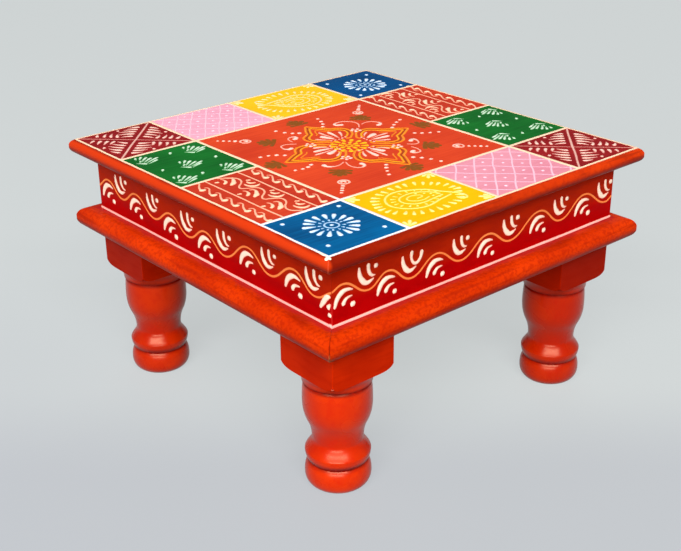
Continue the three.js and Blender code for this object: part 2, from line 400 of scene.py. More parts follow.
class Finish:
    """A material whose colour is laid on coat by coat, from noise and from places on the table."""

    def __init__(self, name, specular=0.3):
        self.material = bpy.data.materials.new(name)
        self.material.use_nodes = True
        self.tree = self.material.node_tree
        self.shader = self.tree.nodes["Principled BSDF"]
        self.shader.inputs["Specular IOR Level"].default_value = specular

    def node(self, kind, inputs, **settings):
        """A node whose inputs are fed with numbers, colours or the outputs of other nodes."""
        made = self.tree.nodes.new(kind)
        for name, value in settings.items():
            setattr(made, name, value)
        for name, value in inputs.items():
            if isinstance(value, bpy.types.NodeSocket):
                self.tree.links.new(value, made.inputs[name])
            else:
                made.inputs[name].default_value = value
        return made

    def place(self):
        return self.node("ShaderNodeTexCoord", {}).outputs["Object"]

    def axes(self):
        return self.node("ShaderNodeSeparateXYZ", {"Vector": self.place()}).outputs

    def grain(self, frequency, detail=3.0, turn=0.0, seed=0.0):
        """Noise with one frequency, or with its own along each axis, per metre."""
        scale = frequency if isinstance(frequency, tuple) else (frequency,) * 3
        mapping = self.node("ShaderNodeMapping", {
            "Vector": self.place(), "Scale": scale, "Rotation": (0, 0, turn), "Location": (seed,) * 3,
        })
        source = {"Vector": mapping.outputs["Vector"], "Scale": 1.0, "Detail": detail}
        return self.node("ShaderNodeTexNoise", source).outputs["Fac"]

    def span(self, value, low, high, to_low=0.0, to_high=1.0, kind="LINEAR"):
        """Carries a range of one value onto another range."""
        ends = {"Value": value, "From Min": low, "From Max": high, "To Min": to_low, "To Max": to_high}
        return self.node("ShaderNodeMapRange", ends, interpolation_type=kind).outputs["Result"]

    def ease(self, value, low, high, to_low=0.0, to_high=1.0):
        """As span, but with soft ends."""
        return self.span(value, low, high, to_low, to_high, "SMOOTHSTEP")

    def sums(self, operation, *values):
        """A sum on values, each a number or the output of a node."""
        return self.node("ShaderNodeMath", dict(enumerate(values)), operation=operation).outputs["Value"]

    def times(self, first, second):
        return self.sums("MULTIPLY", first, second)

    def swayed(self, value, cloud, reach):
        """A value that a cloud pushes up by at most a reach."""
        return self.sums("ADD", value, self.times(cloud, reach))

    def measure(self, operation, vector):
        """The distance of the place from a point, or how far it lies along a direction."""
        pair = {0: self.place(), 1: vector}
        return self.node("ShaderNodeVectorMath", pair, operation=operation).outputs["Value"]

    def band(self, value, middle, half):
        """1 at the middle of a range and 0 at its ends."""
        away = self.sums("ABSOLUTE", self.sums("SUBTRACT", value, middle))
        return self.ease(away, 0.0, half, 1.0, 0.0)

    def spot(self, point, radius):
        """1 within a ragged patch round a point, 0 outside it."""
        reach = self.sums("MULTIPLY_ADD", self.grain(900, 4.0), radius * 1.4, radius * 0.3)
        inside = self.sums("SUBTRACT", reach, self.measure("DISTANCE", point))
        return self.span(inside, -0.0002, 0.0002)

    def front_mitre(self, axes, start, width):
        """1 on the joint at the front left corner, beyond a reach along it, and 0 beside it."""
        aside = self.sums("ABSOLUTE", self.sums("SUBTRACT", axes["X"], axes["Y"]))
        beyond = self.span(self.sums("ADD", axes["X"], axes["Y"]), -start, -start - 0.002)
        return self.times(self.span(aside, width * 0.5, width * 1.5, 1.0, 0.0), beyond)

    def mixed(self, share, first, second):
        """Two colours mixed, each in chart values or the output of another mix."""
        tints = [chart(*tint) if isinstance(tint, tuple) else tint for tint in (first, second)]
        sockets = {"Factor": share, 6: tints[0], 7: tints[1]}
        return self.node("ShaderNodeMix", sockets, data_type="RGBA").outputs[2]

    def ground(self, share, first, second):
        """The first coat, mixed from two colours."""
        self.tint = self.mixed(share, first, second)

    def coat(self, share, colour):
        """One more coat over those below it."""
        self.tint = self.mixed(share, self.tint, colour)

    def done(self, cloud, smoothest, roughest, relief=None, depth=0.0):
        """Feeds the shader with the coats, a roughness that follows a cloud, and a relief."""
        ends = {"Base Color": self.tint, "Roughness": self.span(cloud, 0.3, 0.7, smoothest, roughest)}
        if relief is not None:
            bump = self.node("ShaderNodeBump", {"Distance": depth, "Height": relief})
            ends["Normal"] = bump.outputs["Normal"]
        for name, value in ends.items():
            self.tree.links.new(value, self.shader.inputs[name])
        return self.material


def tile_paint(name, light, dark, turn):
    """Matt poster paint laid on the board in one tile, with the strokes of a flat brush in it."""
    paint = Finish(name, 0.04)
    strokes = paint.grain((30, 500, 200), 3.0, turn)
    clouds = paint.grain(22, 2.0)
    both = paint.sums("MULTIPLY_ADD", strokes, 0.4, paint.times(clouds, 0.6))
    paint.ground(paint.span(both, 0.34, 0.66), dark, light)
    return paint.done(clouds, 0.46, 0.58, strokes, 0.00005)


def board_enamel():
    """Orange red of the board's edge, darker towards the left and lighter again on the left side, with
    painted shade on the lower part of the edge.
    """
    paint = Finish("board_enamel", 0.06)
    axes = paint.axes()
    streaks = paint.grain((60, 60, 500))
    clouds = paint.grain(24, 2.0, seed=3.0)
    mottle = paint.grain(320, 2.0)
    brushed = paint.grain((26, 26, 420), 4.0, seed=11.0)
    paint.ground(paint.ease(clouds, 0.3, 0.7), (192, 46, 4), (208, 58, 6))
    paint.coat(paint.ease(mottle, 0.4, 0.7, 0, 0.4), (160, 32, 4))
    paint.coat(paint.ease(brushed, 0.5, 0.68, 0, 0.6), (140, 34, 6))
    paint.coat(paint.span(axes["X"], -0.15, 0.06, 0.9, 0), (120, 18, 3))
    left_side = paint.swayed(axes["X"], clouds, 0.003)
    paint.coat(paint.ease(left_side, -0.1468, -0.1496, 0, 0.9), (208, 56, 13))
    # Painted shade: darker towards the bottom of the board's edge
    paint.coat(paint.ease(axes["Z"], 0.1866, 0.1822, 0, 0.75), (124, 16, 2))
    paint.coat(paint.times(paint.front_mitre(axes, 0.297, 0.0003), 0.3), (232, 120, 84))
    return paint.done(streaks, 0.34, 0.48, paint.sums("ADD", streaks, mottle), 0.0001)


def apron_enamel():
    """Crimson below the vine and a browner red above it, under the board, with a painted highlight along the
    front corner.
    """
    paint = Finish("apron_enamel", 0.03)
    axes = paint.axes()
    clouds = paint.grain((50, 50, 160))
    level = paint.swayed(axes["Z"], paint.grain((45, 45, 20), 2.0), 0.008)
    zone = paint.ease(level, 0.151, 0.165)
    paint.ground(zone, (170, 1, 3), (170, 32, 3))
    paint.coat(paint.ease(clouds, 0.32, 0.68, 0.7, 0), paint.mixed(zone, (152, 0, 2), (154, 24, 3)))
    # Painted highlight: a lighter line along the front corner, stronger below the vine
    highlight_below_vine = paint.ease(axes["Z"], 0.156, 0.148, 0, 0.5)
    paint.coat(paint.times(paint.front_mitre(axes, 0.27, 0.0006), highlight_below_vine), (220, 48, 44))
    return paint.done(clouds, 0.36, 0.5, clouds, 0.00006)


def rail_enamel():
    """Orange red, brushed along the rail, with painted shade towards the bottom, crimson run over and a worn
    front corner.
    """
    paint = Finish("rail_enamel", 0.045)
    axes = paint.axes()
    streaks = paint.grain((30, 30, 500))
    clouds = paint.grain((24, 24, 40), 2.0, seed=7.0)
    mottle = paint.grain(440, 2.0)
    brushed = paint.grain((22, 22, 380), 4.0, seed=17.0)
    paint.ground(paint.ease(clouds, 0.3, 0.7), (190, 42, 1), (210, 54, 2))
    paint.coat(paint.ease(mottle, 0.42, 0.66, 0, 0.5), (158, 24, 2))
    paint.coat(paint.ease(brushed, 0.5, 0.68, 0, 0.55), (148, 26, 3))
    # Painted shade: darker towards the bottom of the rail
    paint.coat(paint.ease(axes["Z"], 0.1292, 0.1222, 0, 0.6), (124, 18, 2))
    reach = paint.sums("MAXIMUM", *(paint.sums("ABSOLUTE", axes[name]) for name in "XY"))
    run_over = paint.swayed(reach, paint.grain(70), 0.008)
    paint.coat(paint.ease(run_over, 0.1428, 0.1466, 0.8, 0), (168, 14, 22))
    paint.coat(paint.times(paint.spot(BARE_PLACE, 0.0026), 0.6), (150, 70, 20))
    joint = paint.front_mitre(axes, 0.290, 0.0005)
    flaked = paint.span(axes["Z"], 0.1285, 0.1262, 0, 0.6)
    paint.coat(paint.times(joint, flaked), (220, 140, 84))
    filled = paint.span(axes["Z"], 0.1262, 0.1285, 0, 0.5)
    paint.coat(paint.times(joint, filled), (130, 16, 4))
    return paint.done(streaks, 0.29, 0.44, paint.sums("ADD", streaks, mottle), 0.0001)


def far_leg_shade(paint, axes):
    """0 at the front left leg, growing towards the other legs, which get painted shade."""
    depth = paint.sums("MAXIMUM", axes["X"], paint.times(axes["Y"], 0.6))
    return paint.span(depth, -0.05, 0.11, 0, 0.5)


def leg_enamel():
    """Glossy orange red on the turning, with painted shade on the collar under the block, in the grooves, on
    the neck and on the far legs.
    """
    paint = Finish("leg_enamel", 0.33)
    paint.shader.inputs["Specular Tint"].default_value = chart(255, 214, 176)
    axes = paint.axes()
    clouds = paint.grain(34, 2.0, seed=5.0)
    paint.ground(paint.ease(clouds, 0.3, 0.7), (188, 34, 0), (204, 47, 0))
    # Painted shade on the collar under the block
    collar = paint.ease(axes["Z"], TURNING_HEIGHT * 0.915, TURNING_HEIGHT * 0.97, 0, 0.5)
    paint.coat(collar, (150, 12, 2))
    # Painted shade in the groove under the bead and in the groove below the collar
    low_groove_shade = paint.band(axes["Z"], TURNING_HEIGHT * 0.226, 0.0042)
    high_groove_shade = paint.band(axes["Z"], TURNING_HEIGHT * 0.905, 0.0036)
    paint.coat(paint.sums("MAXIMUM", low_groove_shade, high_groove_shade), (104, 1, 2))
    # Painted shade on the neck
    neck = paint.band(axes["Z"], TURNING_HEIGHT * 0.43, 0.012)
    paint.coat(paint.times(neck, 0.5), (168, 20, 0))
    paint.coat(paint.ease(paint.grain(260), 0.48, 0.66, 0, 0.35), (186, 22, 0))
    # Painted shade: the far legs darker
    paint.coat(far_leg_shade(paint, axes), (140, 12, 0))
    return paint.done(clouds, 0.24, 0.31, paint.grain((30, 30, 700), 2.0), 0.00004)


def block_enamel():
    """Duller red on the square blocks, darker than the turning as painted shade under the rails, with a chip
    on the front block's lower corner and painted shade on the far legs.
    """
    paint = Finish("block_enamel", 0.03)
    clouds = paint.grain(34, 2.0, seed=5.0)
    brushed = paint.grain((60, 60, 300))
    # Painted shade: base colours darker than the turning's, for the shade under the rails
    paint.ground(paint.ease(clouds, 0.3, 0.7), (174, 28, 0), (188, 35, 1))
    paint.coat(paint.ease(brushed, 0.45, 0.7, 0, 0.35), (160, 20, 0))
    paint.coat(paint.spot(CHIP_PLACE, 0.0008), (240, 150, 120))
    # Painted shade: the far blocks darker
    paint.coat(far_leg_shade(paint, paint.axes()), (104, 4, 0))
    return paint.done(brushed, 0.34, 0.46, brushed, 0.00005)


def bare_wood(name, turn=0.0):
    """Unpainted mango wood: pale brown, with long darker lines and open pores."""
    wood = Finish(name)
    lines = wood.grain((14, 260, 260), 5.0, turn)
    pores = wood.grain((90, 1400, 1400), 2.0, turn)
    wood.ground(wood.span(lines, 0.35, 0.65), (196, 158, 112), (150, 108, 66))
    wood.coat(wood.span(pores, 0.6, 0.72, 0, 0.7), (92, 60, 34))
    return wood.done(lines, 0.62, 0.8, pores, 0.00015)


def cone_paint(name, full, thin):
    """Thick paint from a cone: the full colour on the crest, and the thin colour where it runs out."""
    paint = Finish(name, 0.05)
    clouds = paint.grain(300, 2.0)
    load = paint.node("ShaderNodeAttribute", {}, attribute_name="load").outputs["Fac"]
    paint.ground(paint.span(paint.swayed(load, clouds, 0.25), 0.25, 0.95), thin, full)
    return paint.done(clouds, 0.32, 0.46, clouds, 0.00005)


def border_paint():
    """The line paint: nearly white round the front corner's tile and a warmer cream elsewhere."""
    paint = Finish("border_cream", 0.15)
    axes = paint.axes()
    clouds = paint.grain(120, 2.0)
    depth = paint.swayed(paint.sums("MAXIMUM", axes["X"], axes["Y"]), clouds, 0.02)
    paint.ground(paint.ease(depth, -0.078, -0.055), (242, 239, 238), (252, 218, 182))
    return paint.done(clouds, 0.32, 0.46, clouds, 0.00005)


def screw_steel():
    steel = Finish("screw_steel")
    steel.shader.inputs["Metallic"].default_value = 1.0
    tarnish = steel.grain(700)
    steel.ground(steel.span(tarnish, 0.35, 0.7), (176, 172, 160), (112, 100, 84))
    return steel.done(tarnish, 0.3, 0.55)


# Brush marks: each is a list of points, a list of widths and whether it closes, in millimetres

def drop(tip, crown, width, bend=0.0):
    """A mark that starts thin at the tip and ends full and round at the crown."""
    (x0, y0), (x1, y1) = tip, crown
    along = (x1 - x0, y1 - y0)
    points = []
    for share in (0.0, 0.4, 0.8, 0.95, 1.0):
        lean = 4 * share * (1 - share) * bend
        away = lean / math.hypot(*along)
        points.append((x0 + along[0] * share - along[1] * away, y0 + along[1] * share + along[0] * away))
    full = width * hand.uniform(0.92, 1.08)
    return (points, [full * share for share in (0.3, 0.72, 1.0, 0.78, 0.3)], False)


def dot(x, y, size):
    full = size * hand.uniform(0.9, 1.12)
    points = [(x + full * share, y) for share in (-0.5, -0.3, 0.3, 0.5)]
    return (points, [full * share for share in (0.3, 0.92, 0.92, 0.3)], False)


def around(count, sway=0.0, shift=0.0):
    """Angles evenly round a circle, each off by up to a share of the gap, or all by the same share."""
    for step in range(count):
        off = hand.uniform(-sway, sway) if sway else shift
        yield 2 * math.pi * (step + off) / count


def aimed(angle, reach):
    """A place at a reach from the middle, in the direction of an angle."""
    return (math.cos(angle) * reach, math.sin(angle) * reach)


def ring(x, y, radius, width):
    points = []
    for angle in around(8):
        away = aimed(angle, radius * hand.uniform(0.96, 1.04))
        points.append((x + away[0], y + away[1]))
    return (points, [width * hand.uniform(0.85, 1.1) for _ in points], True)


def thread(points, width, tremble=0.0):
    """A line of nearly even width."""
    shaken = [(x + hand.uniform(-tremble, tremble), y + hand.uniform(-tremble, tremble)) for x, y in points]
    return (shaken, [width * hand.uniform(0.9, 1.08) for _ in points], False)


def brush(points, widths):
    """A stroke through points with its own width at each, closed by a rounded end."""
    ends = []
    for end, before, width in ((points[0], points[1], widths[0]), (points[-1], points[-2], widths[-1])):
        share = 0.35 * width / math.dist(end, before)
        ends.append(tuple(end[i] + (end[i] - before[i]) * share for i in (0, 1)))
    return ([ends[0], *points, ends[1]], [widths[0] * 0.3, *widths, widths[-1] * 0.3], False)


def steps(start, end, pitch):
    """Points about one pitch apart on a straight line."""
    count = max(2, round(math.dist(start, end) / pitch))
    shares = [step / count for step in range(count + 1)]
    return [tuple(first + (last - first) * share for first, last in zip(start, end)) for share in shares]


def moved(marks, x=0.0, y=0.0, turn=0.0, size=1.0):
    """Marks turned, scaled and set down somewhere else."""
    cos, sin = math.cos(turn) * size, math.sin(turn) * size
    placed = []
    for points, widths, closed in marks:
        shifted = [(x + px * cos - py * sin, y + px * sin + py * cos) for px, py in points]
        placed.append((shifted, [width * size for width in widths], closed))
    return placed


def stroked(name, marks):
    """The marks as level tubes, as wide at each point as the brush was there."""
    curve = bpy.data.curves.new(name, "CURVE")
    curve.dimensions = "3D"
    curve.twist_mode = "Z_UP"
    curve.bevel_depth = 0.5 * MM
    curve.bevel_resolution = 1
    curve.use_fill_caps = True
    for points, widths, closed in marks:
        spline = curve.splines.new("BEZIER")
        longest = max(math.dist(*pair) for pair in zip(points, points[1:]))
        spline.resolution_u = max(2, min(12, round(longest / 1.6)))
        spline.use_cyclic_u = closed
        spline.radius_interpolation = "EASE"
        spline.bezier_points.add(len(points) - 1)
        for knot, (x, y), width in zip(spline.bezier_points, points, widths):
            knot.co = (x * MM, y * MM, 0)
            knot.radius = width
            knot.handle_left_type = knot.handle_right_type = "AUTO"
    shape = linked(name, curve)
    mesh = real_mesh(shape)
    bpy.data.objects.remove(shape)
    bm = bmesh.new()
    bm.from_mesh(mesh)
    bpy.data.meshes.remove(mesh)
    return bm


def paint_marks(name, marks, material, slot, place, flatness=0.3):
    """Lays the marks down as raised paint whose lower half is sunk into the wood."""
    bm = stroked(name, marks)
    bmesh.ops.remove_doubles(bm, verts=bm.verts, dist=1e-6)
    bmesh.ops.recalc_face_normals(bm, faces=bm.faces)
    bmesh.ops.scale(bm, vec=(1, 1, flatness), verts=bm.verts)
    load = bm.verts.layers.float.new("load")
    for vert in bm.verts:
        vert.co.z = max(-PAINT_CREST * MM, min(PAINT_CREST * MM, vert.co.z))
        vert[load] = limited(vert.co.z / (PAINT_FULL * MM))
    bmesh.ops.transform(bm, matrix=place, verts=bm.verts)
    hand_over(finish_mesh(name, bm, [material], 70.0), slot)


# Motifs of the board

def daisy():
    """Petals round short strokes and a ring, with a slanted stroke near each corner of the tile."""
    marks = [ring(0, 3, 4.7, 1.4), dot(0, 3, 2.6)]
    petals = []
    for angle in around(16, 0.12):
        start = hand.uniform(9.6, 10.8)
        end = hand.uniform(17.6, 19.2)
        petals.append(drop(aimed(angle, start), aimed(angle, end), 3.7, hand.uniform(-0.3, 0.3)))
    petals += [drop(aimed(angle, 6.4), aimed(angle, 9.0), 1.7) for angle in around(12, 0.15)]
    marks += moved(petals, 0, 3)
    slanted = brush([(-0.9, -1.2), (-0.4, -0.6), (0.4, 0.6), (0.9, 1.2)], [1.4, 3.2, 3.2, 1.4])
    for x, y in ((-22.3, 24.2), (24.4, 24.6), (-22.6, -20.3), (22.8, -20.8)):
        marks += moved([slanted], x, y)
    return marks


def kairi(half_x, half_y):
    """A mango shape with a curled tail, ringed by dashes, and leaves in the corners of its tile."""
    outline = [
        (21.2, -8.5), (8.2, -10.6), (-4.8, -13.4), (-15.1, -11.3), (-22.2, -4), (-23.6, 3.5), (-20.2, 11.6),
        (-13.5, 16.6), (-4.5, 18.4), (6, 14.8), (14, 9), (20.3, -1.2), (25.2, -8.5), (27.2, -14.5),
        (24.6, -19.2), (20.8, -18.4), (20.2, -15.0),
    ]
    inner = [
        (16.2, -5.2), (5.5, -6.4), (-3.5, -7.4), (-10.5, -4.6), (-13.6, 1.4), (-11.6, 7), (-5.4, 10.0),
        (2.6, 10.2), (9.6, 7.2), (14.6, 2), (16.4, -3.0),
    ]
    heart = [(7, -2.0), (0, -3.6), (-6.2, -1.6), (-8, 2.6), (-4.8, 6.0), (1.2, 5.8), (4.8, 2.6), (-1.4, 0.6)]
    marks = [thread(outline, 1.7, 0.2), thread(inner, 1.5, 0.2), thread(heart, 1.3, 0.15)]
    for angle in around(30, 0.12):
        cos, sin = aimed(angle, hand.uniform(0.98, 1.04))
        marks.append(drop((cos * 27.8, 1.2 + sin * 20.2), (cos * 34.0, 1.2 + sin * 26.4), 3.0))
    for angle in around(18, 0.1):
        cos, sin = aimed(angle, 1.0)
        marks.append(drop((-1.4 + cos * 15.0, 2.0 + sin * 10.6), (-1.4 + cos * 19.2, 2.0 + sin * 13.9), 1.7))
    marks += [dot(x, y, 2.0) for x, y in ((10.4, -2.4), (11.8, 1.4), (8.6, 4.4), (3.8, 7.6))]
    return marks + corner_leaves(half_x, half_y)


def corner_leaves(half_x, half_y):
    """Three short leaves in each corner of a tile."""
    marks = []
    for x in (-1, 1):
        for y in (-1, 1):
            tip = (x * (half_x - 0.8), y * (half_y - 0.8))
            for lean, length in ((-0.55, 7.8), (0.0, 10.0), (0.55, 7.8)):
                away = aimed(math.atan2(-y, -x) + lean, length)
                marks.append(drop(tip, (tip[0] + away[0], tip[1] + away[1]), 3.0))
    return marks


def lattice(half_x, half_y, lean, size):
    """Thin lines both ways, slanting by an eighth of a turn and a lean, and a dot in each diamond."""
    marks = []
    ways = ((QUARTER / 2 + lean, 13.4 * size, 1.4), (QUARTER * 1.5 + lean, 15.6 * size, 1.0))
    for angle, pitch, width in ways:
        cos, sin = aimed(angle, 1.0)
        for step in range(-8, 8):
            aside = (step + 0.5) * pitch
            line = [(cos * reach - sin * aside, sin * reach + cos * aside) for reach in range(-60, 61)]
            inside = [(x, y) for x, y in line if abs(x) < half_x and abs(y) < half_y]
            if len(inside) > 5:
                marks.append(thread(steps(inside[0], inside[-1], 13.0), width, 0.5))
    across, up = aimed(ways[1][0], ways[0][1]), aimed(ways[0][0], ways[1][1])
    for column in range(-7, 8):
        for row in range(-7, 8):
            x, y = (across[axis] * column + up[axis] * row for axis in (0, 1))
            if abs(x) < half_x - 3 and abs(y) < half_y - 3:
                marks.append(dot(x + hand.uniform(-0.6, 0.6), y + hand.uniform(-0.6, 0.6), 2.4))
    return marks


def crossed_fans(half):
    """A thick and a thin diagonal, with a comb of strokes beside the first and longer ones by the second."""
    marks = []
    for end, width in ((half, 1.8), (-half, 1.1)):
        marks.append(thread(steps((-half, -end), (half, end), 16), width, 0.3))
    root = math.sqrt(0.5)

    def on_tile(along, across):
        return ((along + across) * root, (along - across) * root)

    for first in (-1, 1):
        for second in (-1, 1):
            for step in range(5):
                along = first * (7.0 + 5.6 * step)
                length = (9.0, 12.0, 13.0, 11.0, 8.0)[step] * hand.uniform(0.92, 1.05)
                crown = on_tile(along + first * 1.4, second * 3.8)
                tip = on_tile(along - first * 1.8, second * (3.8 + length))
                marks.append(drop(tip, crown, 3.1, -0.7 * first * second))
            for step in range(4):
                across = second * (14.6 + 5.2 * step)
                near = on_tile(first * 4.4, across)
                reach = (12.0, 13.4, 12.6, 10.6)[step]
                far = on_tile(first * reach, across + second * hand.uniform(0.4, 2.0))
                marks.append(drop(far, near, 3.1, 0.6 * first * second))
            ends = ((first * 22.5, second * 19.0), (first * 19.5, second * 18.5))
            marks.append(drop(*(on_tile(*end) for end in ends), 3.0))
    return marks


def sprig():
    """A plume of strokes that rise to one side from a short base."""
    strokes = (
        ((-5.5, 2.5), (-3.5, 6.8), 2.5), ((-3.6, 1.2), (1.1, 6.3), 2.5), ((-6.4, -3.4), (-3.7, -0.7), 2.3),
        ((-4.6, -3.6), (4.0, 3.4), 2.5), ((-4.2, -5.6), (6.1, -0.2), 2.5), ((-3.6, -7.6), (10.1, -2.2), 2.5),
        ((-3.2, -9.9), (7.0, -6.1), 2.4), ((-9.2, -3.5), (-3.8, -9.6), 2.4),
    )
    return [drop(tip, crown, width, hand.uniform(-0.2, 0.6)) for tip, crown, width in strokes]


def sprigs():
    """Five sprigs, and four short strokes between them."""
    marks = []
    for x, y in SPRIG_PLACES:
        marks += moved(sprig(), x, y, hand.uniform(-0.05, 0.05))
    for x, y in ((1.7, 26.6), (-22.7, -1), (22.2, -1.7), (-5, -24.4)):
        marks.append(drop((x - 1.2, y - 1.8), (x + 1.2, y + 1.6), 2.8))
    return marks


def running_wave(x, feet):
    """Hooks down the tile: each starts thin, swings out to the right and ends in a full foot."""
    marks = []
    for y in feet:
        hook = [(3.8, 14.6), (5.6, 12.8), (2.8, 6.8), (-0.1, 1.2), (0.2, -1.1), (2.2, -1.3)]
        hook = [(x + across + hand.uniform(-0.3, 0.3), min(y + up, 43.0)) for across, up in hook]
        marks.append(brush(hook, [0.8, 1.2, 1.4, 1.8, 4.2, 3.0]))
    return marks


def bay_left():
    """Three hooked strokes on the left of the small vine, beside its turn to the right."""
    return [
        brush([(1.4, 35.7), (4.0, 34.2), (2.0, 28.6), (-0.6, 25.3), (-3.8, 23.2)], [0.9, 1.5, 3.0, 4.2, 2.4]),
        brush([(-2.9, 37.2), (-1.7, 35.0), (-3.5, 30.0), (-6.0, 28.1)], [0.9, 1.4, 2.7, 2.4]),
        brush([(-9.4, 34.2), (-7.4, 33.5)], [1.8, 2.6]),
    ]


def bay_right():
    """Two nested arcs and a short stroke on the right of the small vine, beside its turn to the left."""
    return [
        brush([(3.9, 18.9), (3.7, 15.6), (5.2, 12.3), (7.8, 11.0), (12.2, 12.4)], [1.1, 2.0, 2.8, 2.7, 1.1]),
        brush([(8.0, 21.4), (8.0, 17.6), (11.4, 16.6)], [1.7, 2.7, 1.5]),
        brush([(9.5, 24.0), (11.6, 22.8)], [1.8, 2.0]),
    ]


def zigzag_bands(half_y):
    """Two thin lines, a running wave outside each and a small vine between them."""
    lines = ((-14.4, -13.6), (14.0, 14.4))
    marks = [thread(steps((low, -half_y), (high, half_y), 15), 1.5, 0.25) for low, high in lines]
    marks += running_wave(-25.0, (31.4, 18.8, 6.2, -6.4, -19.0, -31.6, -41.4))
    marks += running_wave(21.8, (33.6, 22.6, 10.6, -1.6, -14.0, -26.4, -38.8))
    for step in range(3):
        marks += moved(bay_left(), -0.5 - 1.7 * step, 2.4 - 28.2 * step)
        marks += moved(bay_right(), -0.5, 2.4 - 26.6 * step)
    marks.append(thread(SMALL_VINE, 1.5, 0.1))
    return marks


def cup_group(curled):
    """Strokes over a trough of the vine: a large one, then a small one and a dot, or one curled stroke."""
    large = brush([(0, 0), (0.5, -4.7), (3.3, -9.5), (6.8, -11.5), (12, -9.8)], [1.8, 3.3, 4.0, 3.0, 1.1])
    if curled:
        points = [(8, 1.4), (8, -3.7), (11.4, -7.5), (15.7, -5.1), (17.1, -0.5)]
        return [large, brush(points, [3.0, 2.2, 2.4, 2.6, 3.2])]
    small = brush([(7.5, 0.5), (8.1, -4.2), (10.7, -7.5), (13.2, -7.8)], [2.8, 2.8, 2.0, 0.9])
    return [large, small, dot(13.8, -1.8, 3.6)]


def arch_group():
    """Strokes under a crest of the vine: a large one, a small full one and a dot."""
    return [
        brush([(0, 0), (1.9, 5.1), (5.7, 8.7), (10, 9.6), (14.7, 8.4)], [2.2, 3.8, 4.1, 2.6, 1.0]),
        brush([(7, 0.5), (8.5, 2.8), (11, 4), (14.2, 4.2)], [3.6, 2.8, 1.8, 0.9]),
        dot(14.8, -1.8, 3.9),
    ]


def squeezed_arch():
    """Strokes under the last rise of the vine, cut short by the corner."""
    return [
        brush([(0, 0), (3.3, 5.0), (6.6, 8.9), (9.0, 9.6)], [2.4, 3.9, 4.2, 2.0]),
        drop((9.4, 4.8), (6.6, 1.0), 3.6),
        dot(8.6, -3.0, 3.2),
    ]


def vine_leaves(turns, edge, curled):
    """Cup groups over the troughs and arch groups under the crests of a vine."""
    marks = []
    for step, (x, y) in enumerate(turns[1:-1]):
        size = hand.uniform(0.96, 1.03)
        lean = hand.uniform(-0.04, 0.04)
        if step % 2 == 0:
            arch = moved(arch_group(), 0, 0, lean, size)
            marks += moved(arch, min(max(x - 8.8, -edge + 2.5), edge - 18.0), y - 14.2)
        else:
            cup = moved(cup_group(step == curled), 0, 0, lean, size)
            marks += moved(cup, min(x - 7.8, edge - 17.0), y + 17.0)
    if turns[-1][1] > 157:
        marks += moved(squeezed_arch(), edge - 10.6, 146.6)
    return marks


def lotus_lines(reach):
    """A lotus bud pointing along +Y: an outer and an inner line, the gap between them and a small tip."""
    outer = [
        (5.4, 14.4), (7.6, 13.0), (12.6, 16.0), (18.0, 21.4), (20.6, 28.6), (19.0, 36.0), (13.6, 40.4),
        (11.0, 42.0), (8.6, 46.6), (5.0, 52.2), (0.3, 59.0),
    ]
    inner = [
        (6.8, 18.0), (8.4, 17.8), (11.2, 19.8), (15.0, 24.0), (16.9, 29.4), (15.2, 34.2), (11.0, 37.4),
        (8.2, 39.4), (6.0, 43.6), (3.4, 48.2), (0.3, 53.2),
    ]
    between = [tuple(sum(both) / 2 for both in zip(*pair)) for pair in zip(outer, inner)][3:]
    tip = [(7.4, 34.8), (5.0, 37.4), (3.0, 41.6), (0.3, 46.0)]
    stretch = reach / 59.0
    lines = []
    for line, width in ((outer, 2.0), (inner, 1.7), (between, 1.5), (tip, 1.3)):
        lines.append([thread([(x * side, y * stretch) for x, y in line], width, 0.2) for side in (1, -1)])
    return lines


def lotus_petals():
    """One full stroke and four thin ones inside the lotus, over a row of dots."""
    strokes = (
        ((-2.4, 17.4), (-6.4, 29.0), 5.6, 0.4), ((2.0, 17.4), (4.4, 33.6), 3.8, -0.4),
        ((-0.6, 20.0), (-1.4, 37.4), 2.3, 0.4), ((5.2, 18.0), (11.4, 28.6), 2.5, -0.8),
        ((-6.8, 18.4), (-13.4, 26.8), 2.1, 0.8),
    )
    marks = [drop(*stroke) for stroke in strokes]
    return marks + [dot(-7.0 + 3.5 * step, 14.6 + abs(step - 2) * 0.5, 2.0) for step in range(5)]


def curl(points):
    """A line that ends in a full blob."""
    widths = [1.2 + 0.15 * step for step in range(len(points) - 2)] + [2.8, 4.2]
    return brush(list(points), widths)


def flower(x, y):
    marks = [dot(0, 0, 2.2)]
    marks += [dot(*aimed(angle, 3.3), 2.9) for angle in around(5, shift=0.3)]
    return moved(marks, x, y)


def dot_chain(start, bend, end):
    """Four dots along a curve that leans towards a bend, smaller outwards."""
    return [dot(*bent(start, bend, end, step / 3), 3.3 - 0.15 * step) for step in range(4)]


def ringed_circle(x, y, slant):
    """A ring round a full swirl, with a trail of dots outwards."""
    swirl = [
        ring(0, 0, 3.9, 1.8),
        brush([(-1.4, 0.6), (-0.6, -1.2), (1.6, -0.8), (1.5, 1.2)], [1.6, 2.8, 2.6, 1.4]),
    ]
    swirl += [dot(0, 7.6 + 4.4 * step, 3.2 - 0.2 * step) for step in range(4)]
    return moved(swirl, x, y, slant)


def leaf_cluster(x, y, slant):
    """Seven small dark leaves, spread about a stem."""
    leaves = [drop((0, -6), (0, 8.2), 4.4)]
    pairs = ((-5, 4.6, 6.0, 3.6, 0.8), (-5, 8.4, 1.8, 4.0, 0.8), (-6, 8.6, -4.2, 3.6, 0.6))
    for side in (1, -1):
        for foot, across, up, width, bend in pairs:
            leaves.append(drop((side * 0.6, foot), (side * across, up), width, side * bend))
    return moved(leaves, x, y, slant)


def sun(x, y):
    """Two rings of petals round a small ring."""
    marks = [ring(0, 0, 2.2, 1.8)]
    for angles, tip, crown, width in ((around(8), 3.6, 8.0, 3.7), (around(13, shift=0.5), 8.6, 14.6, 4.1)):
        marks += [drop(aimed(angle, tip), aimed(angle, crown), width) for angle in angles]
    return moved(marks, x, y)


# Pieces

